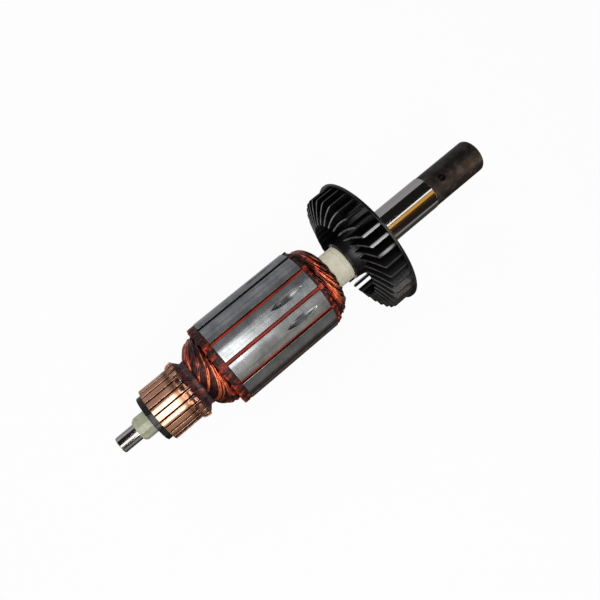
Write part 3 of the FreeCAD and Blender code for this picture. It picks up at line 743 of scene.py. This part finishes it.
tilt = math.radians(10.1)
toward = math.radians(96.3)
picture_turn = math.radians(39.7)
pixel = 0.534e-3
focal = 618.6
picture_width = 600
aim = Vector((-0.0502, 0, 0))
aim_along = 39.19 - 1.04
aim_across = 0.62 - 2.8
shaft_way = Vector((1, 0, 0))
near_way = Vector((0, math.cos(toward), math.sin(toward)))
side_way = Vector((0, math.cos(toward + math.pi / 2), math.sin(toward + math.pi / 2)))
leaning_shaft = shaft_way * math.cos(tilt) + near_way * math.sin(tilt)
back = near_way * math.cos(tilt) - shaft_way * math.sin(tilt)
right = leaning_shaft * math.cos(picture_turn) + side_way * math.sin(picture_turn)
up = leaning_shaft * math.sin(picture_turn) - side_way * math.cos(picture_turn)
lens = bpy.data.cameras.new("camera")
lens.sensor_width = 36
lens.lens = lens.sensor_width * focal / picture_width
camera = bpy.data.objects.new("camera", lens)
camera.matrix_world = Matrix((right, up, back)).transposed().to_4x4()
camera.location = (aim + back * (focal * pixel) - leaning_shaft * (aim_along * pixel)
                   - side_way * (aim_across * pixel))
bpy.context.scene.collection.objects.link(camera)
bpy.context.scene.camera = camera


# Cards and lamps. Light and dark cards stand round the object and lie on the floor, where only reflections see
# them, and give the metal its bands. Three soft boxes light the object.

def over(x, degrees, distance):
    """Place at station x, turned this many degrees from near_way to side_way, this far off the axis."""
    turn = math.radians(degrees)
    return Vector((x, 0, 0)) + (near_way * math.cos(turn) + side_way * math.sin(turn)) * distance


def facing_turn(place, target):
    """Turn that points -Z at the target and keeps X along the shaft."""
    away = (place - Vector(target)).normalized()
    along = (shaft_way - away * away.x).normalized()
    return Matrix((along, away.cross(along), away)).transposed()


# Each card: its place, the point that it faces, its size along the shaft and across it, its colour and strength.
for name, place, target, size, code, strength in (
        ("dark_canopy", over(-0.05, 0, 0.80), (-0.05, 0, 0), (3.4, 2.0), "#252322", 1.0),
        ("dark_left", over(-0.05, -58, 0.75), (-0.05, 0, 0), (3.4, 0.24), "#252322", 1.0),
        ("dark_right", over(-0.735, 90, 0.75), (-0.735, 0, 0), (2.03, 1.3), "#5a534d", 1.0),
        ("drive_end_right", over(0.965, 90, 0.75), (0.965, 0, 0), (1.37, 1.3), "#2a2623", 1.0),
        ("dark_below", Vector((-0.05, -0.48, -0.0375)), (-0.05, -0.48, 0), (3.4, 0.94), "#4a4643", 1.0),
        ("grey_floor", Vector((-0.0475, -0.44, -0.0372)), (-0.0475, -0.44, 0), (0.355, 0.68), "#a2a29e", 1.0),
        ("grey_below", Vector((-0.05, 0.5, -0.0375)), (-0.05, 0.5, 0), (3.4, 1.0), "#b0b0b4", 1.0),
        ("front_left", over(-0.35, -95, 0.62), (-0.35, 0, 0), (0.8, 0.62), "#cacace", 1.0),
        ("seat_left", over(0.40, -95, 0.62), (0.40, 0, 0), (0.7, 0.62), "#bababe", 1.0),
        ("bars_left", over(-0.2, -46, 0.60), (-0.2, 0, 0), (0.1, 0.34), "#e8e8ec", 1.0),
        ("pale_left", over(-0.01, -46, 0.62), (-0.01, 0, 0), (0.28, 0.44), "#a0a0a4", 1.0),
        ("pale_above", over(-0.061, 10, 0.64), (-0.061, 0, 0), (0.382, 0.9), "#e2e2e2", 1.0),
        ("pale_right", over(-0.061, 52, 0.62), (-0.061, 0, 0), (0.382, 0.36), "#dedad2", 1.0),
        ("bars_right", over(-0.2, 78, 0.5), (-0.2, 0, 0), (0.1, 0.2), "#d4d0c8", 1.0),
        ("core_right", over(0, 78, 0.5), (0, 0, 0), (0.29, 0.2), "#96968f", 1.0),
        ("seat_line", over(0.20, 6, 0.5), (0, 0, 0), (0.22, 0.08), "#ffffff", 1.9),
        ("seat_amber", over(0.20, 24, 0.5), (0, 0, 0), (0.22, 0.16), "#f4b84a", 1.2),
        ("seat_brown", over(0.20, 41, 0.5), (0, 0, 0), (0.22, 0.13), "#6b452a", 0.7),
        ("journal_line", over(-0.285, 13, 0.48), (-0.18, 0, 0), (0.08, 0.26), "#ffffff", 2.0),
        ("journal_side", over(-0.30, 84, 0.48), (-0.18, 0, 0), (0.12, 0.22), "#a9a9ad", 1.0),
        ("rear_glow", over(0.56, 55, 0.5), (-0.06, 0, 0), (0.4, 0.5), "#ffe6d2", 4.0),
        ("front_glow", over(-0.62, 30, 0.35), (-0.12, 0, 0), (0.3, 0.5), "#ffe6d2", 3.0),
        ("fan_light", over(0.1315, 12, 0.5), (0.1315, 0, 0), (0.034, 0.37), "#f0f0f4", 8.0)):
    shade = bpy.data.materials.new(name)
    shade.use_nodes = True
    fill(shade.node_tree.nodes["Material Output"], i0=add_node(shade, "Emission", Color=code, Strength=strength))
    bm = bmesh.new()
    bmesh.ops.create_grid(bm, x_segments=1, y_segments=1, size=0.5)
    bmesh.ops.scale(bm, verts=bm.verts[:], vec=(size[0], size[1], 1))
    bmesh.ops.rotate(bm, verts=bm.verts[:], cent=(0, 0, 0), matrix=facing_turn(place, target))
    bmesh.ops.translate(bm, verts=bm.verts[:], vec=place)
    card = placed(name, bm, shade)
    card.visible_camera = False
    card.visible_diffuse = False
    card.visible_shadow = False
    card.visible_transmission = False

# Each soft box: its place, the point that it faces, its size along the shaft and across it, its power, and whether
# metal mirrors it. The left one only lifts the shaded side of the object, and metal doesn't mirror it.
for name, place, target, size, power, mirrored in (
        ("overhead_box", over(-0.165, 3, 0.5), (-0.155, 0, 0), (0.16, 0.46), 1.25, True),
        ("right_box", over(-0.21, 40, 0.55), (-0.15, 0, 0), (0.1, 0.1), 0.3, True),
        ("left_box", over(-0.06, -62, 0.9), (-0.06, 0, 0), (0.4, 0.3), 1.2, False)):
    light = bpy.data.lights.new(name, "AREA")
    light.shape = "RECTANGLE"
    light.size, light.size_y = size
    light.energy = power
    box = bpy.data.objects.new(name, light)
    box.matrix_world = Matrix.Translation(place) @ facing_turn(place, target).to_4x4()
    box.visible_glossy = mirrored
    bpy.context.scene.collection.objects.link(box)

bpy.context.scene.view_settings.view_transform = "Standard"
